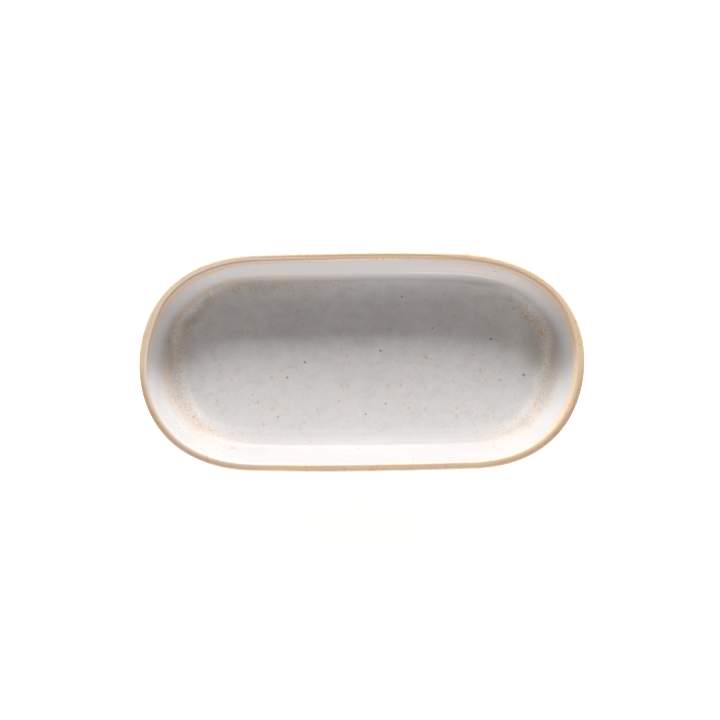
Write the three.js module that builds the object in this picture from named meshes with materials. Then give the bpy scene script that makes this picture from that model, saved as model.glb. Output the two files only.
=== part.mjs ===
// Oval stoneware tray: a pressed clay body under four fired coats of glaze.
// Millimetres, +Z up. The origin is the middle of the footprint, on the table.
import * as THREE from "three";

// Finished size over the glaze.
const LENGTH = 300;
const WIDTH = 148;
const HEIGHT = 30;

// Outline from above: a tip at each end, and a shoulder where each long side turns into an end.
const SHOULDER_X = 69.6;
const SIDE_CROWN = 1; // how far a long side bows out between its shoulders
const SHOULDER_HANDLE = 0.82; // share of the way from a shoulder to its tip
const TIP_HANDLE = 0.374; // share of the way from a tip to its shoulder, across the tray
const OUTLINE_STEPS = 60;

// The oval is shaped by hand: how far each knot strays from a true one, along and across the tray.
const TIP_DRIFT = 1.3; // the right tip sits this far back and the left one this far forward
const SHOULDER_DRIFT = [
  { side: 1, back: 1, along: -8, across: 0.4 },
  { side: -1, back: 1, along: 0.9, across: -0.7 },
  { side: -1, back: -1, along: 3, across: 0.2 },
  { side: 1, back: -1, along: 4.2, across: -1 },
];

// Clay body, pressed from one slab.
const SLAB = 4.4;
const WALL_ANGLE = THREE.MathUtils.degToRad(62); // from the floor
const LIP_INNER_ROUND = 1.5; // the slab is cut level at the lip, and both its edges are rounded
const LIP_OUTER_ROUND = 1.2;
const COVE_RADIUS = 8; // inside, where the dished edge of the floor turns up into the wall
const DISH_RADIUS = 46; // inside, the dished edge round the flat floor
const DISH_ANGLE = THREE.MathUtils.degToRad(10); // slope of the dished edge at the cove

// Foot ring under the body.
const FOOT_HEIGHT = 2.6;
const FOOT_WIDTH = 5;
const FOOT_OUTSET = 2; // outer face, measured outwards from the edge of the flat floor
const FOOT_EDGE = 0.8; // rounding of the standing edge
const FOOT_FILLET = 1.5;

// Coats of glaze, by thickness, and where they stop.
const INNER_COAT = 0.8;
const RIM_COAT = 0.4; // the glaze breaks thin over the lip
const OUTER_COAT = 0.6;
const BASE_COAT = 0.5;
const COAT_EDGE = 0.25; // where a coat runs out on bare clay
const EDGE_TAPER = 2; // length over which a coat thins to its edge
const RIM_BAND = 4; // how far the rim coat comes down each side of the wall
const BARE_MARGIN = 2; // clay left dry beside the foot ring

// Steps along the round stretches of the section.
const COVE_STEPS = 4;
const DISH_STEPS = 3;
const LIP_STEPS = 3; // each, down to the inner wall and out to the outermost point
const FILLET_STEPS = 2;

// Stations round the finished lip: a point of the outline and the way out from it.
function outlineStations() {
  const shoulders = SHOULDER_DRIFT.map(
    ({ side, back, along, across }) =>
      new THREE.Vector2(side * (SHOULDER_X + along), back * (WIDTH / 2 - SIDE_CROWN + across)),
  );
  const [backRight, backLeft, frontLeft, frontRight] = shoulders;
  const rightTip = new THREE.Vector2(LENGTH / 2, TIP_DRIFT);
  const leftTip = new THREE.Vector2(-LENGTH / 2, -TIP_DRIFT);

  const outline = new THREE.CurvePath();
  outline.add(endArc(rightTip, backRight));
  outline.add(sideArc(backRight, backLeft));
  outline.add(reversed(endArc(leftTip, backLeft)));
  outline.add(endArc(leftTip, frontLeft));
  outline.add(sideArc(frontLeft, frontRight));
  outline.add(reversed(endArc(rightTip, frontRight)));

  const points = outline.getSpacedPoints(OUTLINE_STEPS).slice(0, OUTLINE_STEPS);
  fitToBox(points, LENGTH, WIDTH);
  return points.map((point, i) => {
    const before = points.at(i - 1);
    const after = points[(i + 1) % points.length];
    const along = after.clone().sub(before).normalize();
    return { point, out: new THREE.Vector2(along.y, -along.x) };
  });
}

// Slope of a long side where it leaves a shoulder: a side is a parabola that rises by its crown.
function sideSlope(back) {
  return (back * 2 * SIDE_CROWN) / SHOULDER_X;
}

// From a tip round to one of its shoulders.
function endArc(tip, shoulder) {
  const back = Math.sign(shoulder.y);
  const reach = SHOULDER_HANDLE * (tip.x - shoulder.x);
  const fromTip = new THREE.Vector2(tip.x, tip.y + TIP_HANDLE * shoulder.y);
  const intoShoulder = new THREE.Vector2(
    shoulder.x + reach,
    shoulder.y - Math.abs(reach) * sideSlope(back),
  );
  return new THREE.CubicBezierCurve(tip, fromTip, intoShoulder, shoulder);
}

// From one shoulder along a long side to the next.
function sideArc(start, end) {
  const third = (end.x - start.x) / 3;
  const rise = Math.abs(third) * sideSlope(Math.sign(start.y));
  const leave = new THREE.Vector2(start.x + third, start.y + rise);
  const arrive = new THREE.Vector2(end.x - third, end.y + rise);
  return new THREE.CubicBezierCurve(start, leave, arrive, end);
}

function reversed(curve) {
  return new THREE.CubicBezierCurve(curve.v3, curve.v2, curve.v1, curve.v0);
}

// Centres the points on the origin and stretches them to the size asked for.
function fitToBox(points, length, width) {
  const box = new THREE.Box2().setFromPoints(points);
  const middle = box.getCenter(new THREE.Vector2());
  const size = box.getSize(new THREE.Vector2());
  const scale = new THREE.Vector2(length / size.x, width / size.y);
  points.forEach((point) => point.sub(middle).multiply(scale));
}

// The section through the wall, as stretches in order: up the inside, over the lip, down the outside,
// round the foot ring and in under the base. X is the inset from the finished lip, Y the height.
function wallSection() {
  const inwards = new THREE.Vector2(Math.sin(WALL_ANGLE), Math.cos(WALL_ANGLE)); // out of the inner wall
  const downhill = new THREE.Vector2(Math.cos(WALL_ANGLE), -Math.sin(WALL_ANGLE));
  const from = (point, direction, distance) => point.clone().addScaledVector(direction, distance);
  const at = (inset, height) => new THREE.Vector2(inset, height);
  const up = Math.PI / 2;
  const down = -up;

  const lipTop = HEIGHT - RIM_COAT;
  const outerLip = at(RIM_COAT + LIP_OUTER_ROUND, lipTop - LIP_OUTER_ROUND);
  const acrossSlab = from(outerLip, inwards, SLAB - LIP_OUTER_ROUND - LIP_INNER_ROUND);
  const innerLipDrop = (acrossSlab.y - lipTop + LIP_INNER_ROUND) / Math.sin(WALL_ANGLE);
  const innerLip = from(acrossSlab, downhill, innerLipDrop);
  const lipInside = from(innerLip, inwards, LIP_INNER_ROUND);
  const lipOutside = from(outerLip, inwards, -LIP_OUTER_ROUND);
  const lipStart = inwards.angle();
  const rimLineInside = from(lipInside, downhill, RIM_BAND);
  const rimLineOutside = from(lipOutside, downhill, RIM_BAND);

  // The dish rises from the flat floor, and the cove joins it to the inner wall.
  // The outside turns about the same two centres.
  const coveEnd = down - WALL_ANGLE;
  const dishEnd = down - DISH_ANGLE;
  const dishToCove = at(Math.cos(dishEnd), Math.sin(dishEnd)).multiplyScalar(DISH_RADIUS - COVE_RADIUS);
  const coveHeight = FOOT_HEIGHT + SLAB + DISH_RADIUS + dishToCove.y;
  const besideWall = from(lipInside, inwards, COVE_RADIUS);
  const cove = from(besideWall, downhill, (besideWall.y - coveHeight) / Math.sin(WALL_ANGLE));
  const dish = cove.clone().sub(dishToCove);
  const outerCove = COVE_RADIUS + SLAB;
  const outerDish = DISH_RADIUS + SLAB;
  const wallFootInside = from(cove, inwards, -COVE_RADIUS);
  const wallFootOutside = from(cove, inwards, -outerCove);

  // A fillet joins the underside of the dish to the upright face of the foot ring.
  const footOuter = dish.x - FOOT_OUTSET;
  const filletReach = outerDish + FOOT_FILLET;
  const filletSide = FOOT_OUTSET + FOOT_FILLET;
  const fillet = at(dish.x - filletSide, dish.y - Math.sqrt(filletReach ** 2 - filletSide ** 2));
  const filletStart = dish.clone().sub(fillet).angle();
  const filletOnDish = filletStart - Math.PI;
  const glazeLine = filletOnDish - BARE_MARGIN / outerDish;
  const taperLine = glazeLine - EDGE_TAPER / outerDish;

  // The inner side of the ring is one round, from its standing edge up to the recess.
  const footInner = footOuter + FOOT_WIDTH;
  const outerEdge = at(footOuter + FOOT_EDGE, FOOT_EDGE);
  const innerEdge = at(footInner - FOOT_EDGE, FOOT_EDGE);
  const recessRound = FOOT_HEIGHT - FOOT_EDGE;
  const recessCentre = at(footInner + recessRound, FOOT_EDGE);
  const recess = (inset) => at(recessCentre.x + inset, FOOT_HEIGHT);

  return traced([
    arc("inner", dish, DISH_RADIUS, down, dishEnd, DISH_STEPS, INNER_COAT),
    arc("inner", cove, COVE_RADIUS, dishEnd, coveEnd, COVE_STEPS, INNER_COAT),
    line("inner", wallFootInside, rimLineInside, INNER_COAT, RIM_COAT),
    line("rim", rimLineInside, lipInside, RIM_COAT),
    arc("rim", innerLip, LIP_INNER_ROUND, lipStart, up, LIP_STEPS, RIM_COAT),
    line("rim", at(innerLip.x, lipTop), at(outerLip.x, lipTop), RIM_COAT),
    arc("rim", outerLip, LIP_OUTER_ROUND, up, Math.PI, LIP_STEPS, RIM_COAT),
    arc("rim", outerLip, LIP_OUTER_ROUND, Math.PI, lipStart + Math.PI, 1, RIM_COAT),
    line("rim", lipOutside, rimLineOutside, RIM_COAT),
    line("outer", rimLineOutside, wallFootOutside, RIM_COAT, OUTER_COAT),
    arc("outer", cove, outerCove, coveEnd, dishEnd, COVE_STEPS, OUTER_COAT),
    arc("outer", dish, outerDish, dishEnd, taperLine, 1, OUTER_COAT),
    arc("outer", dish, outerDish, taperLine, glazeLine, 1, OUTER_COAT, COAT_EDGE),
    arc("bare", dish, outerDish, glazeLine, filletOnDish, 1),
    arc("bare", fillet, FOOT_FILLET, filletStart, 0, FILLET_STEPS),
    line("bare", at(footOuter, fillet.y), at(footOuter, FOOT_EDGE)),
    arc("bare", outerEdge, FOOT_EDGE, -Math.PI, down, FILLET_STEPS),
    line("bare", at(outerEdge.x, 0), at(innerEdge.x, 0)),
    arc("bare", innerEdge, FOOT_EDGE, down, 0, FILLET_STEPS),
    arc("bare", recessCentre, recessRound, Math.PI, up, FILLET_STEPS),
    line("bare", recess(0), recess(BARE_MARGIN)),
    line("base", recess(BARE_MARGIN), recess(BARE_MARGIN + EDGE_TAPER), COAT_EDGE, BASE_COAT),
  ]);
}

// A stretch of the section: the coat over it, its curve, its steps and the coat's thickness at each end.
function line(coat, start, end, thickness = 0, endThickness = thickness) {
  return { coat, curve: new THREE.LineCurve(start, end), steps: 1, thickness, endThickness };
}

function arc(coat, centre, radius, start, end, steps, thickness = 0, endThickness = thickness) {
  const curve = new THREE.EllipseCurve(centre.x, centre.y, radius, radius, start, end, end < start);
  return { coat, curve, steps, thickness, endThickness };
}

// Gives each stretch its points on the clay and on the glaze. It starts on the last one's end point.
function traced(stretches) {
  let join = null;
  return stretches.map(({ coat, curve, steps, thickness, endThickness }) => {
    const clay = curve.getPoints(steps);
    clay[0] = join ?? clay[0];
    join = clay.at(-1);
    const glazed = clay.map((point, step) => {
      const along = curve.getTangent(step / steps);
      const outwards = new THREE.Vector2(along.y, -along.x);
      const depth = THREE.MathUtils.lerp(thickness, endThickness, step / steps);
      return point.clone().addScaledVector(outwards, depth);
    });
    return { coat, clay, glazed };
  });
}

// Joins runs of points that each start where the last one ends.
function chained(runs) {
  return runs.flatMap((run, i) => (i === 0 ? run : run.slice(1)));
}

// Carries a section round the outline. It closes on itself, or has a flat cap over each end.
function loft(section, stations, closed) {
  const count = stations.length;
  const positions = section.flatMap(({ x: inset, y: height }) =>
    stations.flatMap(({ point, out }) => [point.x - inset * out.x, point.y - inset * out.y, height]),
  );
  const index = [];
  const bands = closed ? section.length : section.length - 1;
  for (let band = 0; band < bands; band += 1) {
    const next = (band + 1) % section.length;
    const goingOut = section[band].x > section[next].x;
    for (let i = 0; i < count; i += 1) {
      const j = (i + 1) % count;
      const [a, b, c, d] = [band * count + i, next * count + i, next * count + j, band * count + j];
      // The diagonal is the same from either side, so a coat lies on its clay facet to facet.
      index.push(...(goingOut ? [a, b, c, a, c, d] : [a, b, d, b, c, d]));
    }
  }
  if (!closed) {
    const last = (section.length - 1) * count;
    const centre = section.length * count;
    positions.push(0, 0, section[0].y, 0, 0, section.at(-1).y);
    for (let i = 0; i < count; i += 1) {
      const j = (i + 1) % count;
      index.push(centre, i, j, centre + 1, last + j, last + i);
    }
  }
  const geometry = new THREE.BufferGeometry();
  geometry.setAttribute("position", new THREE.Float32BufferAttribute(positions, 3));
  geometry.setIndex(index);
  geometry.computeVertexNormals();
  return geometry;
}

function piece(name, geometry, color, roughness) {
  const mesh = new THREE.Mesh(geometry, new THREE.MeshStandardMaterial({ color, roughness, metalness: 0 }));
  mesh.name = name;
  return mesh;
}

const stations = outlineStations();
const section = wallSection();

function clayBody() {
  return loft(chained(section.map((stretch) => stretch.clay)), stations, false);
}

// A coat is the space between the glazed surface and the clay under it, as one loop of points.
function coatLoop(name) {
  const stretches = section.filter((stretch) => stretch.coat === name);
  const glazed = chained(stretches.map((stretch) => stretch.glazed));
  const backing = chained(stretches.map((stretch) => stretch.clay)).reverse();
  return { glazed, backing };
}

// Runs right round the wall.
function bandCoat(name) {
  const { glazed, backing } = coatLoop(name);
  return loft([...glazed, ...backing], stations, true);
}

// Covers the well, with its glazed side up.
function wellCoat(name) {
  const { glazed, backing } = coatLoop(name);
  return loft([...glazed, ...backing], stations, false);
}

// Covers the recess under the base, with its glazed side down.
function recessCoat(name) {
  const { glazed, backing } = coatLoop(name);
  return loft([...backing, ...glazed], stations, false);
}

const tray = new THREE.Group();
tray.add(
  piece("stoneware_body", clayBody(), 0xc49a6c, 0.85),
  piece("inner_glaze", wellCoat("inner"), 0xd8d2cb, 0.45),
  piece("rim_glaze", bandCoat("rim"), 0xcfae88, 0.5),
  piece("outer_glaze", bandCoat("outer"), 0xd5cec6, 0.45),
  piece("base_glaze", recessCoat("base"), 0xd2cac1, 0.5),
);

export default tray;
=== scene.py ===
"""Oval stoneware tray: its clay body, the coats of glaze fired onto it, and the stage it is shown on.

Lengths are in metres. X runs along the tray to the right, Y across it to the back, and Z up out of the well.
The glaze's patterns fade between places measured from the tray's middle, or from the lip along the section.
"""

import math

import bpy
from bpy.props import FloatProperty, FloatVectorProperty, PointerProperty
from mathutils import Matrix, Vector
from mathutils.geometry import interpolate_bezier


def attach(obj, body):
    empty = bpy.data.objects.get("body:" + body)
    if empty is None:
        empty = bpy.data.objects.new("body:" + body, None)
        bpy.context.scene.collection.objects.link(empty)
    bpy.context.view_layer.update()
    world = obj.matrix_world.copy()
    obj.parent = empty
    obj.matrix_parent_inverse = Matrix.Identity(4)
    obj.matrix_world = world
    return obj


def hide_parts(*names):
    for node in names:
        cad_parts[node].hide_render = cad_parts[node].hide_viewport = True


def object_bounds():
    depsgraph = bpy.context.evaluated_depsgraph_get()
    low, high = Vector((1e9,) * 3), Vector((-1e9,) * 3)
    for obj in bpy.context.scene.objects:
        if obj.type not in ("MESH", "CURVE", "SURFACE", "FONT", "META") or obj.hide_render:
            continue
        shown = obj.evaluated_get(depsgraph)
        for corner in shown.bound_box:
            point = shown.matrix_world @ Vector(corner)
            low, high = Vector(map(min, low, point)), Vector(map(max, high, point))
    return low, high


bl_info = {
    "name": "Oval stoneware tray",
    "version": (1, 0, 0),
    "blender": (4, 5, 0),
    "location": "View3D > Sidebar > Tray",
    "description": "Models a glazed oval tray over its CAD frame",
    "category": "Add Mesh",
}

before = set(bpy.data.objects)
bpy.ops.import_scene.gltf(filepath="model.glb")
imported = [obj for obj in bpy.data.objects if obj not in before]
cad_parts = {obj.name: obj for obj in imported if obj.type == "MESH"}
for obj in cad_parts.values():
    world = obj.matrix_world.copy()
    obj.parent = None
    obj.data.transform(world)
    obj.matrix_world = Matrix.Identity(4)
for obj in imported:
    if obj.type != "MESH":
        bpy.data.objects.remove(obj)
CAD_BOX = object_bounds()
CAD_SIZE = CAD_BOX[1] - CAD_BOX[0]

# The oval is shaped by hand: how far each knot strays from a true one, along and across the tray.
TIP_DRIFT = 0.0013
SHOULDER_DRIFT = {
    "back_left": (0.0009, -0.0007),
    "back_right": (-0.008, 0.0004),
    "front_right": (0.0042, -0.001),
    "front_left": (0.003, 0.0002),
}
SHOULDER_HANDLE = 0.82  # share of the way from a shoulder to its tip
TIP_HANDLE = 0.374  # share of the way from a tip to its shoulder, across the tray

# How the inner wall sweeps into the floor, by its facing: -1 at the back, 0 at a tip, 1 at the front.
END_BLEND = 0.3  # facing lost, from a side, to where the sweep of an end is full
TIP_LEAN = 0.65  # share of the end lean at a tip
LEAN_GAIN = -0.5  # change of that share with facing
TIP_FILL = 0.75  # share of the end fill at a tip
FILL_GAIN = 0.35  # change of that share with facing
FRONT_FILL = 0.6  # share of the end fill along the front side
FRONT_START = 0.3  # facing at which the front's fill starts
FRONT_BLEND = 0.5  # facing over which it comes in

# Fineness of the modelled surfaces.
KNOT_STEPS = 64  # steps round the oval from one knot to the next
STATIONS = 6 * KNOT_STEPS  # round the whole oval, which has a knot at each tip and shoulder
LONGEST_STEP = 0.0008  # along the section
WIDEST_TURN = math.radians(7.5)  # along the section, from one point to the next
EDGE_STEP = 0.00012  # where a coat rounds off at its edge
SMOOTH_ANGLE = math.radians(40)  # faces that meet at more than this keep a sharp edge

# The fired surface.
HAND_SCALE = 0.07  # size of the clouds that the hand-shaped unevenness follows
CALM_SHARE = 1 / 3  # of the height, over which the unevenness comes in above the foot
LIP_ATTRIBUTE = "from_lip"  # distance along the section from the outer end of the lip's level top, outwards
DIMPLE_DEPTH = 0.0003
GLAZE_ROUGHNESS = 0.44
GLAZE_ROUGHNESS_SPREAD = 0.12
GLAZE_DIMPLES = 0.25  # strength of the bump
CLAY_ROUGHNESS = 0.85
CLAY_DIMPLES = 0.5
HALO_STRENGTH = 0.14  # of the stain round a speck

# The stage.
TABLE_SIZE = 2.9
TABLE_DROP = 0.0001  # keeps the table top clear of the foot's standing face
TABLE_GREY = 0.9
TABLE_GLOW = 0.57  # added where the table top is seen, so that it looks white
SURROUND_TINT = (1, 0.94, 0.915)
SURROUND_STRENGTH = 0.245
LAMP_AIM = Vector((0, 0, 0.02))
CAMERA_PLACE = (-0.0013, 0.0013, 1.375)  # a little off the middle, as the tray sits in the picture
CAMERA_LENS = 100  # millimetres


def screen_colour(red, green, blue):
    """A colour as a screen shows it, from 0 to 255, as the linear values that shaders take."""

    def linear(channel):
        share = channel / 255
        return share / 12.92 if share <= 0.04045 else ((share + 0.055) / 1.055) ** 2.4

    return (linear(red), linear(green), linear(blue))


def metres(name, description, default):
    """A length that a user may change."""
    kind = {"min": 0, "unit": "LENGTH", "precision": 5}
    return FloatProperty(name=name, description=description, default=default, **kind)


def incline(name, description, default):
    """An angle that a user may change."""
    return FloatProperty(name=name, description=description, default=default, unit="ROTATION")


def tint(name, description, default):
    """A colour that a user may change, given as a screen shows it."""
    kind = {"subtype": "COLOR", "min": 0, "max": 1}
    return FloatVectorProperty(name=name, description=description, default=screen_colour(*default), **kind)


class TraySizes(bpy.types.PropertyGroup):
    """Sizes of the tray."""

    length: metres("Length", "Over the lip, from end to end", CAD_SIZE.x)
    width: metres("Width", "Over the lip, from side to side", CAD_SIZE.y)
    height: metres("Height", "From the foot to the crest of the lip", CAD_SIZE.z)
    shoulder: metres("Shoulder", "From the middle to where a side turns into an end", 0.0696)
    crown: metres("Crown", "How far a long side bows out between its shoulders", 0.001)
    slab: metres("Slab", "Thickness of the clay", 0.0044)
    wall_angle: incline("Wall angle", "Slope of the wall, from the floor", math.radians(62))
    lip_inner: metres("Lip inside", "Rounding of the lip's inner edge", 0.0015)
    lip_outer: metres("Lip outside", "Rounding of the lip's outer edge", 0.0012)
    cove: metres("Cove", "Radius of the turn up into the wall", 0.008)
    dish: metres("Dish", "Radius of the floor's dished edge", 0.046)
    dish_angle: incline("Dish angle", "Slope of the dished edge at the cove", math.radians(10))
    foot_height: metres("Foot height", "From the table to the underside of the base", 0.0026)
    foot_width: metres("Foot width", "Across the foot ring", 0.005)
    foot_outset: metres("Foot outset", "From the flat floor's edge out to the foot ring", 0.002)
    foot_edge: metres("Foot edge", "Rounding of the standing edge", 0.0008)
    foot_fillet: metres("Foot fillet", "Radius between the foot ring and the wall", 0.0015)
    well_coat: metres("Well coat", "Glaze on the floor and in the cove", 0.0008)
    rim_coat: metres("Rim coat", "Glaze where it breaks thin over the lip", 0.0004)
    outer_coat: metres("Outer coat", "Glaze down the outside of the wall", 0.0006)
    base_coat: metres("Base coat", "Glaze in the recess under the base", 0.0005)
    rim_band: metres("Rim band", "How far the rim coat comes down the wall", 0.004)
    bare_margin: metres("Bare margin", "Clay left dry beside the foot ring", 0.002)
    edge_roll: metres("Edge roll", "Length over which a coat rounds off", 0.001)
    coat_backing: metres("Coat backing", "Thickness that a modelled coat is given", 0.0003)
    unevenness: metres("Unevenness", "How far the hand-shaped wall strays, either way", 0.0003)
    end_lean: metres("End lean", "How far the foot of the wall comes in round the ends", 0.006)
    end_fill: metres("End fill", "How much fuller the cove is round the ends", 0.002)
    fill_start: metres("Fill start", "From the crest to where the cove starts to fill out", 0.0155)


class TrayColours(bpy.types.PropertyGroup):
    """Colours of the clay and glaze, some of them also used as painted shade."""

    glaze: tint("Glaze", "The pale coat where it lies thick", (244, 243, 242))
    # The thin glaze is partly the coat's own thinner colour on the wall and partly painted shade, which
    # keeps the wall darker than the floor.
    thin_glaze_and_shade: tint("Thin glaze", "The pale coat on the wall", (184, 182, 183))
    outer_glaze: tint("Outer glaze", "The coat down the outside of the wall", (168, 161, 155))
    pale_glaze: tint("Pale glaze", "The coat left on the lip at the left end", (220, 206, 194))
    # This colour clouds the glaze, and where it lies in the cove at the back of both ends it is painted
    # shade.
    dust_and_shade: tint("Dust", "Fine clouding in the glaze", (184, 176, 166))
    toast: tint("Toast", "Thin glaze on the lip", (214, 188, 166))
    tan: tint("Tan", "Thin glaze down the inside of the lip", (188, 163, 144))
    cream: tint("Cream", "Streaks in the toasted lip", (227, 203, 171))
    # This brown is also painted shade on the lip's outer edge at the front of both ends.
    edge_brown: tint("Edge brown", "The line where the glaze is thinnest", (168, 132, 104))
    amber: tint("Amber", "The lighter specks", (245, 200, 108))
    rust: tint("Rust", "The darker specks", (214, 158, 84))
    iron: tint("Iron", "The few dark specks", (74, 62, 56))
    clay: tint("Clay", "Bare fired clay of the foot", (192, 156, 116))


# The oval outline

def oval_knots(sizes):
    """Knots of the finished lip, clockwise from the left tip: place, handle before it, handle after it."""
    shoulders = {}
    for name, (along, across) in SHOULDER_DRIFT.items():
        side = 1 if name.endswith("right") else -1
        back = 1 if name.startswith("back") else -1
        reach = sizes.width / 2 - sizes.crown + across
        shoulders[name] = Vector((side * (sizes.shoulder + along), back * reach))
    slope = 2 * sizes.crown / sizes.shoulder

    def handles(name, tip):
        """The handles of a shoulder, towards its tip and along its side."""
        place = shoulders[name]
        side, end = name.split("_")
        partner = shoulders[f"{side}_left" if end == "right" else f"{side}_right"]
        back = math.copysign(1, place.y)
        reach = SHOULDER_HANDLE * (tip.x - place.x)
        third = (partner.x - place.x) / 3
        to_tip = place + Vector((reach, -back * abs(reach) * slope))
        return to_tip, place + Vector((third, back * abs(third) * slope))

    # Each tip comes with the shoulder before it and the one after it, so the first shoulder goes to the end.
    knots = []
    for end, before, after in ((-1, "front_left", "back_left"), (1, "back_right", "front_right")):
        tip = Vector((end * sizes.length / 2, end * TIP_DRIFT))
        to_tip, to_side = handles(before, tip)
        knots.append((shoulders[before], to_side, to_tip))
        tip_handles = [tip + Vector((0, TIP_HANDLE * shoulders[name].y)) for name in (before, after)]
        knots.append((tip, *tip_handles))
        to_tip, to_side = handles(after, tip)
        knots.append((shoulders[after], to_tip, to_side))
    return fitted(knots[1:] + knots[:1], sizes.length, sizes.width)


def fitted(knots, length, width):
    """The same knots, moved and stretched so that the curve through them fills the box asked for."""
    points = []
    for (place, _, after), (next_place, next_before, _) in zip(knots, knots[1:] + knots[:1]):
        points += interpolate_bezier(place, after, next_before, next_place, KNOT_STEPS)
    low = Vector((min(p.x for p in points), min(p.y for p in points)))
    high = Vector((max(p.x for p in points), max(p.y for p in points)))
    middle = (low + high) / 2
    stretch = Vector((length / (high.x - low.x), width / (high.y - low.y)))
    return [tuple((point - middle) * stretch for point in knot) for knot in knots]


def draw_oval(sizes):
    """Draws the outline of the finished lip as a closed curve."""
    bpy.ops.object.select_all(action="DESELECT")
    bpy.ops.curve.primitive_bezier_circle_add(radius=sizes.length / 2)
    oval = bpy.context.object
    spline = oval.data.splines[0]
    knots = oval_knots(sizes)
    spline.bezier_points.add(len(knots) - len(spline.bezier_points))
    for point, (place, before, after) in zip(spline.bezier_points, knots):
        point.handle_left_type = "FREE"
        point.handle_right_type = "FREE"
        point.co = place.to_3d()
        point.handle_left = before.to_3d()
        point.handle_right = after.to_3d()
    oval.data.dimensions = "2D"
    oval.data.fill_mode = "NONE"
    oval.data.resolution_u = KNOT_STEPS
    return oval


# The section through the wall

class SectionPoint:
    """A point of the section: its coat, its inset from the finished lip and height, the way out of the clay.

    Its travel is its distance along the section, which measure() writes.
    """

    def __init__(self, coat, place, outwards):
        self.coat = coat
        self.place = place
        self.outwards = outwards
        self.travel = 0


def straight(coat, start, end, step=LONGEST_STEP):
    """Points from start to end, both counted."""
    along = end - start
    count = max(1, math.ceil(along.length / step))
    outwards = Vector((along.y, -along.x)).normalized()
    return [SectionPoint(coat, start + along * i / count, outwards) for i in range(count + 1)]


def curved(coat, centre, radius, start, end, step=LONGEST_STEP):
    """Points round an arc from one angle to the other, both counted."""
    turn = end - start
    count = math.ceil(abs(turn) / min(WIDEST_TURN, step / radius))
    facing = math.copysign(1, turn)
    points = []
    for i in range(count + 1):
        angle = start + turn * i / count
        spoke = Vector((math.cos(angle), math.sin(angle)))
        points.append(SectionPoint(coat, centre + spoke * radius, spoke * facing))
    return points


def clay_section(sizes):
    """Up the inside, over the lip, down the outside, round the foot ring and in under the base."""
    inwards = Vector((math.sin(sizes.wall_angle), math.cos(sizes.wall_angle)))
    downhill = Vector((inwards.y, -inwards.x))
    up = math.pi / 2
    down = -up

    # The slab is cut level at the lip, and both its edges are rounded.
    lip_top = sizes.height - sizes.rim_coat
    outer_lip = Vector((sizes.rim_coat + sizes.lip_outer, lip_top - sizes.lip_outer))
    across_slab = outer_lip + inwards * (sizes.slab - sizes.lip_outer - sizes.lip_inner)
    inner_lip = across_slab + downhill * ((across_slab.y - lip_top + sizes.lip_inner) / inwards.x)
    lip_inside = inner_lip + inwards * sizes.lip_inner
    lip_outside = outer_lip - inwards * sizes.lip_outer
    lip_start = up - sizes.wall_angle
    rim_inside = lip_inside + downhill * sizes.rim_band
    rim_outside = lip_outside + downhill * sizes.rim_band

    # The dish runs off the flat floor, and the cove off the dish and the inner wall.
    # The outside turns about the same centres.
    cove_end = down - sizes.wall_angle
    dish_end = down - sizes.dish_angle
    dish_to_cove = Vector((math.cos(dish_end), math.sin(dish_end))) * (sizes.dish - sizes.cove)
    cove_height = sizes.foot_height + sizes.slab + sizes.dish + dish_to_cove.y
    beside_wall = lip_inside + inwards * sizes.cove
    cove = beside_wall + downhill * ((beside_wall.y - cove_height) / inwards.x)
    dish = cove - dish_to_cove
    outer_cove = sizes.cove + sizes.slab
    outer_dish = sizes.dish + sizes.slab

    # A fillet joins the underside of the dish to the upright face of the foot ring.
    foot_outer = dish.x - sizes.foot_outset
    reach = outer_dish + sizes.foot_fillet
    side = sizes.foot_outset + sizes.foot_fillet
    fillet = Vector((dish.x - side, dish.y - math.sqrt(reach**2 - side**2)))
    fillet_start = math.atan2(dish.y - fillet.y, dish.x - fillet.x)
    fillet_on_dish = fillet_start - math.pi
    glaze_line = fillet_on_dish - sizes.bare_margin / outer_dish
    roll_line = glaze_line - sizes.edge_roll / outer_dish

    # The inner side of the ring is one round, from its standing edge up to the recess.
    edge = sizes.foot_edge
    foot_inner = foot_outer + sizes.foot_width
    recess_round = sizes.foot_height - edge
    recess_start = foot_inner + recess_round

    def recess(inset):
        return Vector((recess_start + inset, sizes.foot_height))

    base_start = sizes.bare_margin
    base_end = base_start + sizes.edge_roll
    inside = [
        curved("well", dish, sizes.dish, down, dish_end),
        curved("well", cove, sizes.cove, dish_end, cove_end),
        straight("well", cove - inwards * sizes.cove, rim_inside),
        straight("rim", rim_inside, lip_inside),
        curved("rim", inner_lip, sizes.lip_inner, lip_start, up),
        straight("rim", Vector((inner_lip.x, lip_top)), Vector((outer_lip.x, lip_top))),
    ]
    outside = [
        curved("rim", outer_lip, sizes.lip_outer, up, lip_start + math.pi),
        straight("rim", lip_outside, rim_outside),
        straight("outer", rim_outside, cove - inwards * outer_cove),
        curved("outer", cove, outer_cove, cove_end, dish_end),
        curved("outer", dish, outer_dish, dish_end, roll_line),
        curved("outer", dish, outer_dish, roll_line, glaze_line, EDGE_STEP),
    ]
    foot_ring = [
        curved("bare", dish, outer_dish, glaze_line, fillet_on_dish),
        curved("bare", fillet, sizes.foot_fillet, fillet_start, 0),
        straight("bare", Vector((foot_outer, fillet.y)), Vector((foot_outer, edge))),
        curved("bare", Vector((foot_outer + edge, edge)), edge, -math.pi, down),
        straight("bare", Vector((foot_outer + edge, 0)), Vector((foot_inner - edge, 0))),
        curved("bare", Vector((foot_inner - edge, edge)), edge, down, 0),
        curved("bare", Vector((recess_start, edge)), recess_round, math.pi, up),
        straight("bare", recess(0), recess(base_start)),
    ]
    base = [
        straight("base", recess(base_start), recess(base_end), EDGE_STEP),
        straight("base", recess(base_end), recess(base_end + sizes.edge_roll)),
    ]
    runs = inside + outside + foot_ring + base
    measure(runs, crest_run=len(inside))
    return runs


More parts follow.
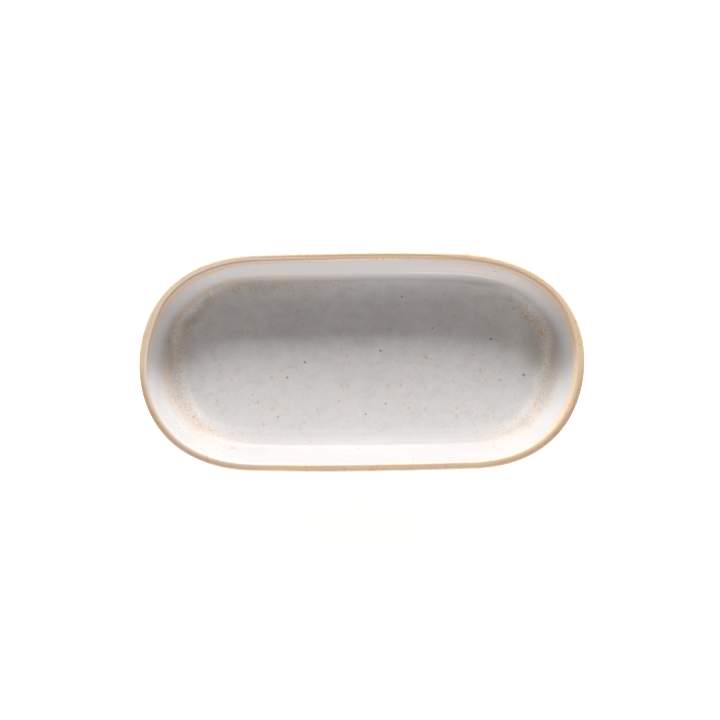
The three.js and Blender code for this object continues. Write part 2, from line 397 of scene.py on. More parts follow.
def measure(runs, crest_run):
    """Writes each point's distance along the section from the crest, the start of one of the runs."""
    travel = 0
    last = runs[0][0].place
    for run in runs:
        for point in run:
            travel += (point.place - last).length
            point.travel = travel
            last = point.place
    crest = runs[crest_run][0].travel
    for run in runs:
        for point in run:
            point.travel -= crest


def joined(runs):
    """One row of points. Where a run starts on the last one's end, that point is kept once."""
    points = list(runs[0])
    for run in runs[1:]:
        points += run[1:]
    return points


def ease(share):
    """From 0 to 1, level at both ends."""
    share = min(1, max(0, share))
    return share * share * (3 - 2 * share)


def rounded(distance, roll):
    """How full a coat is at a distance from its edge, where it rounds off like the side of a drop."""
    share = min(1, max(0, distance / roll))
    return math.sqrt(1 - (1 - share) ** 2)


def coat_depths(points, coat, sizes):
    """Thickness of a coat at each of its points."""
    start = points[0].travel
    whole = points[-1].travel - start
    depths = []
    for point in points:
        done = point.travel - start
        share = done / whole
        if coat == "well":
            depths.append(sizes.well_coat + (sizes.rim_coat - sizes.well_coat) * ease(2 * share - 1))
        elif coat == "rim":
            depths.append(sizes.rim_coat)
        elif coat == "outer":
            full = sizes.rim_coat + (sizes.outer_coat - sizes.rim_coat) * ease(share)
            depths.append(full * rounded(whole - done, sizes.edge_roll))
        else:
            depths.append(sizes.base_coat * rounded(done, sizes.edge_roll))
    return depths


def coat_row(coat, sizes):
    """The glazed surface of one coat, as section places and distances from the crest."""
    points = joined([run for run in clay_section(sizes) if run[0].coat == coat])
    depths = coat_depths(points, coat, sizes)
    return [(point.place + point.outwards * depth, point.travel) for point, depth in zip(points, depths)]


def clay_row(sizes):
    """The bare clay, right round its section."""
    return [(point.place, point.travel) for point in joined(clay_section(sizes))]


# Modelling a piece

def new_object(name, data):
    """An object in the scene."""
    thing = bpy.data.objects.new(name, data)
    bpy.context.scene.collection.objects.link(thing)
    return thing


def sweep(name, row, sizes):
    """Carries a row of section points round the oval and makes a mesh of it, facing out of the clay."""
    profile = bpy.data.curves.new("section", "CURVE")
    profile.dimensions = "2D"
    spline = profile.splines.new("POLY")
    spline.points.add(len(row) - 1)
    for point, (place, _) in zip(spline.points, reversed(row)):
        point.co = (place.x, place.y, 0, 1)
    profile_object = new_object("section", profile)

    piece = draw_oval(sizes)
    piece.data.bevel_mode = "OBJECT"
    piece.data.bevel_object = profile_object
    bpy.ops.object.convert(target="MESH")
    bpy.data.objects.remove(profile_object)
    bpy.data.curves.remove(profile)

    piece.name = name
    mesh = piece.data
    mesh.name = name
    mesh.uv_layers.remove(mesh.uv_layers[0])
    distances = [travel for _, travel in reversed(row)]
    attribute = mesh.attributes.new(LIP_ATTRIBUTE, "FLOAT", "POINT")
    attribute.data.foreach_set("value", distances * STATIONS)
    fill_out(mesh, row, sizes)
    return piece


def fill_out(mesh, row, sizes):
    """Makes the inner wall sweep into the floor in a wider curve round both ends and along the front."""
    places = [place for place, _ in reversed(row)]
    innermost = max(range(len(places)), key=lambda i: places[i].x)
    outermost = min(range(len(places)), key=lambda i: places[i].x)
    well_depth = sizes.height - sizes.foot_height - sizes.slab
    floor_edge = -clay_section(sizes)[0][0].travel
    moves = []
    for place, travel in reversed(row):
        depth = min(1, (sizes.height - place.y) / well_depth) if travel < 0 else 0
        share = (-travel - sizes.fill_start) / (floor_edge - sizes.fill_start)
        fullness = ease(2 * share) * ease(2 - 2 * share)
        moves.append((sizes.end_lean * depth**2, sizes.end_fill * fullness))
    for first in range(0, STATIONS * len(row), len(row)):
        across = mesh.vertices[first + innermost].co - mesh.vertices[first + outermost].co
        inwards = Vector((across.x, across.y, 0)).normalized()
        facing = inwards.y
        at_end = ease((1 - abs(facing)) / END_BLEND)
        leaning = at_end * (TIP_LEAN + LEAN_GAIN * facing)
        front_fill = FRONT_FILL * ease((facing - FRONT_START) / FRONT_BLEND)
        filling = max(at_end * (TIP_FILL + FILL_GAIN * facing), front_fill)
        for i, (lean, rise) in enumerate(moves):
            mesh.vertices[first + i].co += leaning * lean * inwards + Vector((0, 0, filling * rise))


def cover_middle(piece, row, end):
    """Closes the oval hole at one end of the row with a grid of faces, level with its edge."""
    mesh = piece.data
    ring = len(row) - 1 if end == "floor" else 0
    edge_travel = row[0][1] if end == "floor" else row[-1][1]
    before = len(mesh.vertices)
    swept = len(row) * STATIONS
    for vertex in mesh.vertices:
        vertex.select = vertex.index < swept and vertex.index % len(row) == ring
    for face in mesh.polygons:
        face.select = False
    for rim in mesh.edges:
        rim.select = all(mesh.vertices[i].select for i in rim.vertices)
    bpy.ops.object.mode_set(mode="EDIT")
    bpy.ops.mesh.select_mode(type="EDGE")
    bpy.ops.mesh.fill_grid(span=KNOT_STEPS, use_interp_simple=True)
    bpy.ops.object.mode_set(mode="OBJECT")
    if len(mesh.vertices) == before:
        raise RuntimeError(f"{piece.name}: the middle of the {end} stayed open")
    values = mesh.attributes[LIP_ATTRIBUTE].data
    for i in range(before, len(mesh.vertices)):
        values[i].value = edge_travel


def make_uneven(piece, sizes):
    """Lets the wall and floor stray a little, as hand-shaped clay does. The foot ring stays flat."""
    clouds = bpy.data.textures.get("hand_shaped") or bpy.data.textures.new("hand_shaped", "CLOUDS")
    clouds.cloud_type = "COLOR"
    clouds.noise_scale = HAND_SCALE
    clouds.noise_depth = 1
    group = piece.vertex_groups.new(name="hand_shaped")
    calm_height = sizes.height * CALM_SHARE
    for vertex in piece.data.vertices:
        group.add([vertex.index], ease((vertex.co.z - sizes.foot_height) / calm_height), "REPLACE")
    modifier = piece.modifiers.new("hand_shaped", "DISPLACE")
    modifier.texture = clouds
    modifier.texture_coords = "LOCAL"
    modifier.direction = "RGB_TO_XYZ"
    modifier.mid_level = 0.5
    modifier.strength = 2 * sizes.unevenness
    modifier.vertex_group = group.name
    bpy.ops.object.modifier_apply(modifier=modifier.name)
    piece.vertex_groups.clear()


def back_up(piece, sizes):
    """Gives a coat its thickness, on the side of the clay."""
    modifier = piece.modifiers.new("backing", "SOLIDIFY")
    modifier.thickness = sizes.coat_backing
    modifier.offset = -1
    bpy.ops.object.modifier_apply(modifier=modifier.name)


def finish_piece(piece, node, material):
    """Smooths the piece, gives it its material and puts it in the place of its CAD node."""
    bpy.ops.object.shade_smooth_by_angle(angle=SMOOTH_ANGLE)
    piece.data.materials.clear()
    piece.data.materials.append(material)
    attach(piece, "root")
    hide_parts(node)


# Shader nodes

def put(tree, kind, settings, wires):
    """Adds a node, sets it up, and links a socket or writes a value to each input named."""
    node = tree.nodes.new(kind)
    for name, value in settings.items():
        setattr(node, name, value)
    for name, value in wires.items():
        if isinstance(value, bpy.types.NodeSocket):
            tree.links.new(value, node.inputs[name])
        else:
            node.inputs[name].default_value = value
    return node


def calculate(tree, operation, first, second=0.0, third=0.0):
    node = put(tree, "ShaderNodeMath", {"operation": operation}, {0: first, 1: second, 2: third})
    return node.outputs[0]


def product(tree, first, *others):
    for other in others:
        first = calculate(tree, "MULTIPLY", first, other)
    return first


def highest(tree, first, *others):
    for other in others:
        first = calculate(tree, "MAXIMUM", first, other)
    return first


def moved(tree, start, *shifts):
    """The start, moved by each shift: a share, and the amount that it moves by where the share is 1."""
    for share, amount in shifts:
        start = calculate(tree, "MULTIPLY_ADD", share, amount, start)
    return start


def fade(tree, value, none, full):
    """From 0 where the value is at none to 1 where it is at full, smoothly."""
    wires = {"Value": value, "From Min": none, "From Max": full}
    return put(tree, "ShaderNodeMapRange", {"interpolation_type": "SMOOTHSTEP"}, wires).outputs["Result"]


def band(tree, value, start, full_from, full_to, end):
    """1 where the value is from full_from to full_to, and smoothly down to 0 at start and end."""
    return product(tree, fade(tree, value, start, full_from), fade(tree, value, end, full_to))


def line_at(tree, value, middle, none, full):
    """1 where the value is within full of the middle, and smoothly down to 0 where it is none away."""
    away = calculate(tree, "ABSOLUTE", calculate(tree, "SUBTRACT", value, middle))
    return fade(tree, away, none, full)


def noise(tree, vector, scale, detail):
    wires = {"Vector": vector, "Scale": scale, "Detail": detail}
    return put(tree, "ShaderNodeTexNoise", {}, wires).outputs


def shift_vector(tree, operation, vector, other):
    return put(tree, "ShaderNodeVectorMath", {"operation": operation}, {0: vector, 1: other}).outputs[0]


def bearings(tree, places):
    """How far along the tray and across it a place lies from the middle, and how far along either way."""
    parts = put(tree, "ShaderNodeSeparateXYZ", {}, {0: places}).outputs
    return parts[0], parts[1], calculate(tree, "ABSOLUTE", parts[0])


def opaque(colour):
    return (*colour, 1)


def blended(tree, share, first, second):
    """From the first colour to the second. Inputs 6 and 7 and output 2 are the Mix node's colours."""
    node = put(tree, "ShaderNodeMix", {"data_type": "RGBA"}, {0: share, 6: first, 7: second})
    return node.outputs[2]


def over(tree, coat, colour, mask, strength=1):
    """A coat with a colour over it where the mask is, at most as far as the strength lets it."""
    share = mask if strength == 1 else product(tree, mask, strength)
    return blended(tree, share, coat, opaque(colour))


def new_group(name, inputs, outputs):
    """An empty node group: the group, the sockets it is given, and the node that takes its results."""
    group = bpy.data.node_groups.new(name, "ShaderNodeTree")
    for socket in inputs:
        kind = "NodeSocketVector" if socket == "Vector" else "NodeSocketFloat"
        group.interface.new_socket(socket, in_out="INPUT", socket_type=kind)
    for socket in outputs:
        group.interface.new_socket(socket, in_out="OUTPUT", socket_type="NodeSocketFloat")
    return group, group.nodes.new("NodeGroupInput").outputs, group.nodes.new("NodeGroupOutput")


def feed(tree, node, values):
    """Links each value to the node's input of that name."""
    for name, value in values.items():
        tree.links.new(value, node.inputs[name])


def place_group(tree, name, build, wires):
    """Places a node group, which is built when it is first asked for, and gives its outputs."""
    group = bpy.data.node_groups.get(name) or build(name)
    return put(tree, "ShaderNodeGroup", {"node_tree": group}, wires).outputs


# Patterns of the glaze

def specks_group(name):
    """Round specks strewn through the glaze, some fainter. Share is how many of the cells hold one."""
    inputs = ("Vector", "Cells", "Share", "Radius")
    tree, given, result = new_group(name, inputs, ("Mask", "Halo", "Tone"))

    # Each place is looked up a little beside itself, so that the specks have ragged edges.
    ragged = noise(tree, given["Vector"], scale=1500, detail=1)["Color"]
    aside = shift_vector(tree, "SUBTRACT", ragged, (0.5, 0.5, 0.5))
    raggedness = 0.0006
    aside = shift_vector(tree, "MULTIPLY", aside, (raggedness, raggedness, raggedness))
    beside = shift_vector(tree, "ADD", given["Vector"], aside)
    cell = put(tree, "ShaderNodeTexVoronoi", {}, {"Vector": beside, "Scale": given["Cells"]}).outputs
    chance = put(tree, "ShaderNodeSeparateColor", {}, {0: cell["Color"]}).outputs

    smallest = 0.35  # in radii
    size_spread = 0.7
    core = 0.55  # in sizes of the speck
    stain = 2.4
    faintest = 0.2
    strength_spread = 0.8
    size = product(tree, given["Radius"], moved(tree, smallest, (chance[1], size_spread)))
    spot = fade(tree, cell["Distance"], size, product(tree, size, core))
    halo = fade(tree, cell["Distance"], product(tree, size, stain), size)
    present = calculate(tree, "LESS_THAN", chance[0], given["Share"])
    strength = moved(tree, faintest, (calculate(tree, "POWER", chance[2], 2), strength_spread))
    present = product(tree, present, strength)
    masks = {"Mask": product(tree, spot, present), "Halo": product(tree, halo, present)}
    feed(tree, result, {**masks, "Tone": chance[2]})
    return tree


def toast_group(name):
    """Where the glaze is thin over the lip, and painted shade on the lip's outer edge at the front of both
    ends. Streaks run round the tray, along the lip.
    """
    outputs = ("Toast", "Tan", "Streak", "Pale", "Line", "Pool")
    tree, given, result = new_group(name, ("Vector", "From lip"), outputs)
    places = given["Vector"]
    lip = given["From lip"]
    along, across, apart = bearings(tree, places)
    crowding = 40  # how much closer the streaks lie, across the lip, than they are long
    beside = product(tree, lip, crowding)
    around = put(tree, "ShaderNodeCombineXYZ", {}, {0: along, 1: across, 2: beside}).outputs[0]
    streak = fade(tree, noise(tree, around, scale=22, detail=3)[0], 0.38, 0.66)
    wander = noise(tree, places, scale=30, detail=2)[0]
    nibble = noise(tree, places, scale=160, detail=3)[0]

    # The toasted band is widest at the right end and narrowest at the left one.
    left = fade(tree, moved(tree, along, (wander, 0.06)), 0.0, -0.09)
    right = fade(tree, along, 0.105, 0.14)
    edge = moved(tree, -0.0014, (wander, -0.0018), (nibble, -0.0014), (right, -0.0018), (left, 0.002))
    softness = moved(tree, 0.0016, (right, 0.0026))
    inside = fade(tree, lip, calculate(tree, "SUBTRACT", edge, softness), edge)
    outer_edge = moved(tree, 0.0035, (wander, 0.006), (nibble, 0.002))
    outside = fade(tree, lip, calculate(tree, "ADD", outer_edge, 0.0025), outer_edge)
    toasted = product(tree, inside, outside)

    # Towards the left end the level top of the lip keeps its pale glaze.
    drift = moved(tree, lip, (wander, 0.0014))
    far_back = fade(tree, across, 0.02, 0.05)
    shifted = moved(tree, drift, (far_back, -0.0014))
    pale = product(tree, band(tree, shifted, -0.0036, -0.0024, -0.0014, -0.0007), left)

    # Round the back the inside of the lip is a darker tan, which reaches further down towards the ends.
    ends = fade(tree, apart, 0.02, 0.1)
    at_left_tip = product(tree, left, fade(tree, across, 0.025, 0.0))
    bottom = moved(tree, -0.0025, (wander, -0.003), (ends, -0.002), (at_left_tip, 0.003))
    below_lip = fade(tree, lip, calculate(tree, "SUBTRACT", bottom, 0.003), bottom)
    below_top = fade(tree, shifted, -0.0018, -0.0032)
    behind = fade(tree, moved(tree, across, (left, 0.016)), -0.008, 0.02)
    tan = product(tree, below_lip, below_top, behind, moved(tree, 0.2, (ends, 0.8)))

    # Round the back a fine brown line runs along the level top, further in and fainter towards the right.
    rightwards = fade(tree, along, 0.03, 0.1)
    back_line = line_at(tree, moved(tree, drift, (rightwards, 0.0019)), 0.0002, none=0.0008, full=0.0002)
    burnt = product(tree, fade(tree, across, 0.005, 0.045), fade(tree, along, -0.1, 0.0))
    back_line = product(tree, back_line, burnt, moved(tree, 1, (rightwards, -0.6)))

    # At the back left another one parts the pale top from the tan inside.
    left_line = product(tree, line_at(tree, shifted, -0.0031, none=0.0007, full=0.0002), left, behind)

    # The outer edge of the lip is darker at the front of both ends, where it faces away from the window:
    # painted shade. It is a little darker along the back too.
    corners = product(tree, fade(tree, apart, 0.06, 0.115), fade(tree, across, 0.004, -0.02))
    shaded_edge = product(tree, band(tree, drift, -0.0012, 0.0003, 0.003, 0.004), corners)
    middle_back = product(tree, fade(tree, across, 0.06, 0.07), fade(tree, lip, 0.0002, 0.001))
    shaded_edge = moved(tree, shaded_edge, (middle_back, 0.6))

    # Specks of rust have pooled where the glaze is thin.
    pool = fade(tree, noise(tree, places, scale=260, detail=1)[0], 0.6, 0.7)
    pool = product(tree, highest(tree, toasted, tan), pool)
    line = highest(tree, back_line, left_line, shaded_edge)
    masks = {"Toast": toasted, "Tan": tan, "Streak": streak, "Pale": pale, "Line": line, "Pool": pool}
    feed(tree, result, masks)
    return tree


def sand_group(name):
    """Where fine sand has gathered in the cove: round both ends, and less at the back right."""
    tree, given, result = new_group(name, ("Vector", "From lip"), ("Sand",))
    lip = given["From lip"]
    along, across, apart = bearings(tree, given["Vector"])
    back = fade(tree, across, 0.02, 0.05)
    back_right = product(tree, fade(tree, along, 0, 0.06), back)
    back_left = product(tree, fade(tree, along, 0.02, -0.06), back)
    ends = product(tree, fade(tree, apart, 0.05, 0.125), moved(tree, 1, (back_right, -0.8)))
    ends = highest(tree, ends, product(tree, back_left, 0.7))

    # At the left it reaches higher up the wall, and at the tips it lies on the edge of the floor too.
    left = highest(tree, back_left, fade(tree, along, -0.06, -0.11))
    top_edge = moved(tree, -0.02, (left, 0.003))
    top = fade(tree, lip, top_edge, calculate(tree, "SUBTRACT", top_edge, 0.0036))
    bottom = highest(tree, fade(tree, lip, -0.0372, -0.03), fade(tree, apart, 0.116, 0.152))
    patchy = fade(tree, noise(tree, given["Vector"], scale=70, detail=2)[0], 0.1, 0.6)
    feed(tree, result, {"Sand": product(tree, top, bottom, ends, patchy)})
    return tree


def skin_group(name):
    """The fired surface: slow mottling of its colour, fine clouds, and the dimples that light catches."""
    tree, given, result = new_group(name, ("Vector",), ("Mottle", "Cloud", "Height"))
    broad = noise(tree, given["Vector"], scale=18, detail=3)[0]
    close = noise(tree, given["Vector"], scale=120, detail=3)[0]
    fine = noise(tree, given["Vector"], scale=700, detail=3)[0]
    mottle = moved(tree, product(tree, broad, 0.65), (close, 0.35))
    cloud = moved(tree, product(tree, close, 0.4), (fine, 0.6))
    masks = {"Mottle": fade(tree, mottle, 0.3, 0.7), "Cloud": fade(tree, cloud, 0.42, 0.68)}
    feed(tree, result, {**masks, "Height": moved(tree, close, (fine, 0.35))})
    return tree


# Materials

def new_material(name):
    """A material with its Principled shader, and the places and lip distances that its patterns follow."""
    material = bpy.data.materials.new(name)
    material.use_nodes = True
    tree = material.node_tree
    shader = tree.nodes["Principled BSDF"]
    places = tree.nodes.new("ShaderNodeTexCoord").outputs["Object"]
    lip = put(tree, "ShaderNodeAttribute", {"attribute_name": LIP_ATTRIBUTE}, {}).outputs["Fac"]
    return material, tree, shader, places, lip


def fired_skin(tree, places):
    return place_group(tree, "Fired skin", skin_group, {"Vector": places})


def dimple(tree, shader, skin, strength):
    """Lets the light catch the small dimples of the fired surface."""
    wires = {"Strength": strength, "Distance": DIMPLE_DEPTH, "Height": skin["Height"]}
    feed(tree, shader, {"Normal": put(tree, "ShaderNodeBump", {}, wires).outputs[0]})


def specks(tree, places, cells, share, radius):
    """Strews specks: so many cells to the metre, the share of them with a speck, its radius in cells."""
    wires = {"Vector": places, "Cells": cells, "Share": share, "Radius": radius}
    return place_group(tree, "Glaze specks", specks_group, wires)


def strewn(tree, coat, sprinkle, lighter, darker, strength):
    """A coat with specks over it. Each speck's colour lies somewhere between the two."""
    speck = blended(tree, sprinkle["Tone"], opaque(lighter), opaque(darker))
    coat = blended(tree, product(tree, sprinkle["Halo"], HALO_STRENGTH), coat, speck)
    return blended(tree, product(tree, sprinkle["Mask"], strength), coat, speck)


def thin_and_shaded_places(tree, places, lip, skin):
    """How thin the pale coat is: thin on the wall, less so in the front corners, mottled at the back. The
    darker wall is partly painted shade, and its reach in the corners and along the front is painted light
    and shade.
    """
    _, across, apart = bearings(tree, places)
    back_corners = product(tree, fade(tree, apart, 0.08, 0.12), fade(tree, across, 0.0, 0.02))
    front_corners = product(tree, fade(tree, apart, 0.07, 0.12), fade(tree, across, 0.002, -0.018))
    near_front = fade(tree, across, -0.03, -0.055)

    # The thinning starts at the foot of the wall and is full a little way up. The shifts in the back and
    # front corners and along the front are painted light and shade: they paint the coves of the corners
    # lighter.
    foot = moved(tree, -0.0322, (back_corners, 0.0055), (front_corners, -0.0083))
    full = moved(tree, -0.0262, (back_corners, 0.006), (front_corners, 0.004), (near_front, -0.0013))
    corner_loss = moved(tree, -0.35, (near_front, 0.2))
    wall = product(tree, fade(tree, lip, foot, full), moved(tree, 1, (front_corners, corner_loss)))

    # Along the front the dished edge of the floor is darker too: painted shade, which tones down the light
    # that falls on it.
    front_dish_shade = product(tree, fade(tree, lip, -0.0384, -0.0345), near_front, 0.58)
    mottled = product(tree, skin["Mottle"], fade(tree, across, -0.035, 0.03), 0.28)
    return highest(tree, wall, front_dish_shade, mottled)


def pale_coat(tree, colours, places, lip, skin, sand):
    """The pale glaze of the well, thin in places and clouded, and the coat down the outside, with painted
    shade on the wall, under the lip and in the cove at the back of the ends.
    """
    along, across, apart = bearings(tree, places)
    # The thin places' darker tone is partly painted shade.
    thin = thin_and_shaded_places(tree, places, lip, skin)
    coat = blended(tree, thin, opaque(colours.glaze), opaque(colours.thin_glaze_and_shade))
    coat = over(tree, coat, colours.outer_glaze, fade(tree, lip, 0.004, 0.014))
    # Painted shade: the wall under the lip at the back of both ends is darkened halfway to the outer coat's
    # colour.
    back_ends = product(tree, fade(tree, apart, 0.1, 0.13), fade(tree, across, -0.006, 0.006))
    shade_under_lip = product(tree, back_ends, fade(tree, lip, -0.017, -0.009))
    coat = over(tree, coat, colours.outer_glaze, shade_under_lip, strength=0.5)
    coat = over(tree, coat, colours.dust_and_shade, skin["Cloud"], strength=0.16)

    # Dust lies with the sand. In the cove at the back of both ends, more and further in at the right, the
    # same colour is painted shade. Both are kept to the back half.
    rightwards = fade(tree, along, 0, 0.1)
    amount = moved(tree, 0.3, (rightwards, 0.3))
    shade_at_ends = product(tree, amount, fade(tree, apart, 0.106, 0.122), fade(tree, across, 0.035, 0.015))
    dust_and_shade_mask = highest(tree, shade_at_ends, product(tree, sand, 0.4))
    top = moved(tree, -0.0255, (rightwards, -0.004))
    below_top = fade(tree, lip, top, calculate(tree, "SUBTRACT", top, 0.006))
    dust_and_shade_mask = product(tree, dust_and_shade_mask, below_top, fade(tree, across, -0.012, 0.004))
    return over(tree, coat, colours.dust_and_shade, dust_and_shade_mask)


def streaked_wall(tree, coat, colours, places, lip):
    """One toasted streak runs along the wall at the back right, above a paler line."""
    along, across, _ = bearings(tree, places)
    back_right = product(tree, fade(tree, along, 0, 0.05), fade(tree, across, 0.01, 0.04))
    streak = product(tree, band(tree, lip, -0.0174, -0.0158, -0.0128, -0.011), back_right)
    streak = product(tree, streak, fade(tree, along, 0.14, 0.08))
    coat = over(tree, coat, colours.toast, streak, strength=0.4)
    line = product(tree, band(tree, lip, -0.0212, -0.0199, -0.0192, -0.0182), back_right)
    line = product(tree, line, fade(tree, along, 0.125, 0.07))
    return over(tree, coat, colours.pale_glaze, line, strength=0.5)


def toasted_lip(tree, coat, colours, places, lip):
    """The coat where it breaks thin over the lip, creamier towards the ends, with painted shade on its outer
    edge at the front of the ends.
    """
    toast = place_group(tree, "Toasted lip", toast_group, {"Vector": places, "From lip": lip})
    _, _, apart = bearings(tree, places)
    creamy = highest(tree, toast["Streak"], product(tree, fade(tree, apart, 0.08, 0.14), 0.7))
    lip_coat = blended(tree, creamy, opaque(colours.toast), opaque(colours.cream))
    coat = blended(tree, toast["Toast"], coat, lip_coat)
    coat = over(tree, coat, colours.tan, toast["Tan"], strength=0.9)
    coat = over(tree, coat, colours.rust, toast["Pool"], strength=0.4)
    coat = over(tree, coat, colours.pale_glaze, toast["Pale"])
    # The lines are partly painted shade, on the outer edge at the front of both ends.
    return over(tree, coat, colours.edge_brown, toast["Line"], strength=0.5)


def speckled(tree, coat, colours, places, sand):
    """The coat with its sand, in powder and grains, and its flecks, spots and few specks of iron."""
    powder = specks(tree, places, cells=1700, share=sand, radius=0.7)
    grains = specks(tree, places, cells=1200, share=sand, radius=0.72)
    flecks = specks(tree, places, cells=420, share=0.3, radius=0.3)
    spots = specks(tree, places, cells=190, share=0.5, radius=0.2)
    iron = specks(tree, places, cells=125, share=0.85, radius=0.1)
    coat = strewn(tree, coat, powder, colours.cream, colours.edge_brown, strength=0.5)
    coat = strewn(tree, coat, grains, colours.amber, colours.rust, strength=1.0)
    coat = strewn(tree, coat, flecks, colours.amber, colours.rust, strength=0.6)
    coat = strewn(tree, coat, spots, colours.amber, colours.rust, strength=1.0)
    return strewn(tree, coat, iron, colours.edge_brown, colours.iron, strength=0.8)


def glaze_material(name, colours):
    """Pale speckled glaze that breaks to a toasted tan over the lip."""
    material, tree, shader, places, lip = new_material(name)
    skin = fired_skin(tree, places)
    sand = place_group(tree, "Sandy cove", sand_group, {"Vector": places, "From lip": lip})["Sand"]
    coat = pale_coat(tree, colours, places, lip, skin, sand)
    coat = streaked_wall(tree, coat, colours, places, lip)
    coat = toasted_lip(tree, coat, colours, places, lip)
    coat = speckled(tree, coat, colours, places, sand)
    roughness = moved(tree, GLAZE_ROUGHNESS, (skin["Mottle"], GLAZE_ROUGHNESS_SPREAD))
    feed(tree, shader, {"Base Color": coat, "Roughness": roughness})
    dimple(tree, shader, skin, GLAZE_DIMPLES)
    return material


def clay_material(colours):
    """Bare fired stoneware with grog in it."""
    material, tree, shader, places, _ = new_material("bare_stoneware")
    skin = fired_skin(tree, places)
    grog = specks(tree, places, cells=600, share=0.5, radius=0.35)
    pale = blended(tree, 0.35, opaque(colours.clay), opaque(colours.cream))
    ground = blended(tree, skin["Mottle"], opaque(colours.clay), pale)
    grain = blended(tree, grog["Tone"], opaque(colours.rust), opaque(colours.cream))
    ground = blended(tree, product(tree, grog["Mask"], 0.6), ground, grain)
    feed(tree, shader, {"Base Color": ground})
    shader.inputs["Roughness"].default_value = CLAY_ROUGHNESS
    dimple(tree, shader, skin, CLAY_DIMPLES)
    return material


# The pieces

def model_coat(context, coat, node, cover=None, uneven=True):
    """Models one coat of glaze, gives it its material and hides its CAD node."""
    sizes = context.scene.tray_sizes
    row = coat_row(coat, sizes)
    piece = sweep(f"tray_{coat}_glaze", row, sizes)
    if cover:
        cover_middle(piece, row, cover)
    if uneven:
        make_uneven(piece, sizes)
    back_up(piece, sizes)
    material = glaze_material(f"{coat}_glaze", context.scene.tray_colours)
    finish_piece(piece, node, material)


class TRAY_OT_clay_body(bpy.types.Operator):
    """Model the clay body with its foot ring"""

    bl_idname = "tray.clay_body"
    bl_label = "Clay body"

    def execute(self, context):
        sizes = context.scene.tray_sizes
        row = clay_row(sizes)
        piece = sweep("tray_clay", row, sizes)
        cover_middle(piece, row, "floor")
        cover_middle(piece, row, "base")
        make_uneven(piece, sizes)
        finish_piece(piece, "stoneware_body", clay_material(context.scene.tray_colours))
        return {"FINISHED"}


class TRAY_OT_well_glaze(bpy.types.Operator):
    """Model the coat of glaze over the floor, the cove and the inner wall"""

    bl_idname = "tray.well_glaze"
    bl_label = "Well glaze"

    def execute(self, context):
        model_coat(context, "well", "inner_glaze", cover="floor")
        return {"FINISHED"}


class TRAY_OT_rim_glaze(bpy.types.Operator):
    """Model the thin coat of glaze over the lip"""

    bl_idname = "tray.rim_glaze"
    bl_label = "Rim glaze"

    def execute(self, context):
        model_coat(context, "rim", "rim_glaze")
        return {"FINISHED"}


class TRAY_OT_outer_glaze(bpy.types.Operator):
    """Model the coat of glaze down the outside of the wall"""

    bl_idname = "tray.outer_glaze"
    bl_label = "Outer glaze"

    def execute(self, context):
        model_coat(context, "outer", "outer_glaze")
        return {"FINISHED"}


class TRAY_OT_base_glaze(bpy.types.Operator):
    """Model the coat of glaze in the recess under the base"""

    bl_idname = "tray.base_glaze"
    bl_label = "Base glaze"

    def execute(self, context):
        model_coat(context, "base", "base_glaze", cover="base", uneven=False)
        return {"FINISHED"}


# The stage

def seen_directly(tree):
    """1 for rays from the camera, and for those that a gloss or glass sends on."""
    path = tree.nodes.new("ShaderNodeLightPath").outputs
    return highest(tree, path["Is Camera Ray"], path["Is Glossy Ray"], path["Is Transmission Ray"])


def light_world():
    """A dim even surround that looks white behind the tray."""
    world = bpy.data.worlds.new("studio")
    bpy.context.scene.world = world
    world.use_nodes = True
    tree = world.node_tree
    tree.nodes.clear()
    wires = {"Color": opaque(SURROUND_TINT), "Strength": SURROUND_STRENGTH}
    dim = put(tree, "ShaderNodeBackground", {}, wires).outputs[0]
    white = put(tree, "ShaderNodeBackground", {}, {"Color": (1, 1, 1, 1), "Strength": 1}).outputs[0]
    shown = put(tree, "ShaderNodeMixShader", {}, {0: seen_directly(tree), 1: dim, 2: white}).outputs[0]
    put(tree, "ShaderNodeOutputWorld", {}, {"Surface": shown})


def lay_floor():
    """A wide white table top, which takes the tray's shadow."""
    bpy.ops.object.select_all(action="DESELECT")
    bpy.ops.mesh.primitive_plane_add(size=TABLE_SIZE, location=(0, 0, -TABLE_DROP))
    floor = bpy.context.object
    floor.name = "table_top"
    material = bpy.data.materials.new("table_top")
    material.use_nodes = True
    tree = material.node_tree
    tree.nodes.clear()
    grey = opaque((TABLE_GREY, TABLE_GREY, TABLE_GREY))
    matt = put(tree, "ShaderNodeBsdfDiffuse", {}, {"Color": grey}).outputs[0]
    strength = product(tree, seen_directly(tree), TABLE_GLOW)
    glow = put(tree, "ShaderNodeEmission", {}, {"Color": (1, 1, 1, 1), "Strength": strength}).outputs[0]
    both = put(tree, "ShaderNodeAddShader", {}, {0: matt, 1: glow}).outputs[0]
    put(tree, "ShaderNodeOutputMaterial", {}, {"Surface": both})
    floor.data.materials.append(material)


def hang_lamp(name, place, width, height, power):
    """A soft lamp that points at the tray and that the camera doesn't see. Its power is in watts."""
    lamp = bpy.data.lights.new(name, "AREA")
    lamp.shape = "RECTANGLE"
    lamp.size = width
    lamp.size_y = height
    lamp.energy = power
    lamp_object = new_object(name, lamp)
    lamp_object.location = place
    lamp_object.rotation_euler = (LAMP_AIM - Vector(place)).to_track_quat("-Z", "Y").to_euler()
    lamp_object.visible_camera = False


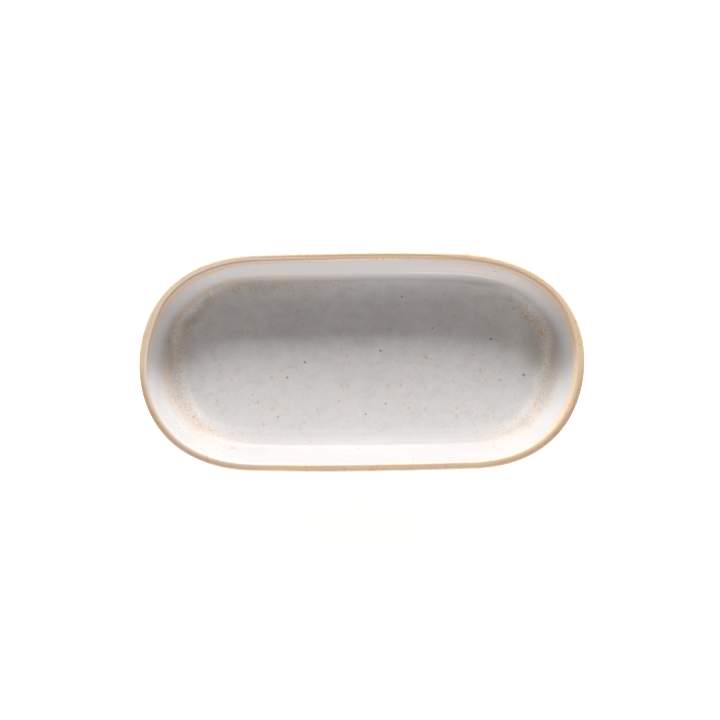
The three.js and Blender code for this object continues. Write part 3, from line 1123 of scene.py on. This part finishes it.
def set_camera():
    """Looks straight down on the tray, from far enough for a flat view."""
    camera = bpy.data.cameras.new("overhead")
    camera.lens = CAMERA_LENS
    camera_object = new_object("overhead", camera)
    camera_object.location = CAMERA_PLACE
    bpy.context.scene.camera = camera_object


class TRAY_OT_stage(bpy.types.Operator):
    """Set the table top, the lamps and the camera"""

    bl_idname = "tray.stage"
    bl_label = "Stage"

    def execute(self, context):
        context.scene.view_settings.view_transform = "Standard"
        light_world()
        lay_floor()
        hang_lamp("window", place=(0, 1.55, 0.5), width=1.1, height=0.34, power=41)
        hang_lamp("room", place=(0, -1.6, 0.28), width=2.4, height=0.14, power=34)
        for side in (-1, 1):
            hang_lamp("side_window", place=(side * 1.35, 0.85, 0.25), width=1.0, height=0.1, power=7)
        set_camera()
        return {"FINISHED"}


class TRAY_PT_panel(bpy.types.Panel):
    """Sizes, colours and pieces of the tray"""

    bl_idname = "TRAY_PT_panel"
    bl_label = "Oval tray"
    bl_space_type = "VIEW_3D"
    bl_region_type = "UI"
    bl_category = "Tray"

    def draw(self, context):
        for settings in (context.scene.tray_sizes, context.scene.tray_colours):
            column = self.layout.column(align=True)
            for name in settings.__annotations__:
                column.prop(settings, name)
        column = self.layout.column(align=True)
        for operator in OPERATORS:
            column.operator(operator.bl_idname)


OPERATORS = (
    TRAY_OT_clay_body,
    TRAY_OT_well_glaze,
    TRAY_OT_rim_glaze,
    TRAY_OT_outer_glaze,
    TRAY_OT_base_glaze,
    TRAY_OT_stage,
)
CLASSES = (TraySizes, TrayColours, *OPERATORS, TRAY_PT_panel)


def register():
    for cls in CLASSES:
        bpy.utils.register_class(cls)
    bpy.types.Scene.tray_sizes = PointerProperty(type=TraySizes)
    bpy.types.Scene.tray_colours = PointerProperty(type=TrayColours)


def unregister():
    del bpy.types.Scene.tray_colours
    del bpy.types.Scene.tray_sizes
    for cls in reversed(CLASSES):
        bpy.utils.unregister_class(cls)


def main():
    """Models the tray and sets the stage."""
    register()
    bpy.ops.tray.clay_body()
    bpy.ops.tray.well_glaze()
    bpy.ops.tray.rim_glaze()
    bpy.ops.tray.outer_glaze()
    bpy.ops.tray.base_glaze()
    bpy.ops.tray.stage()


if __name__ == "__main__":
    main()
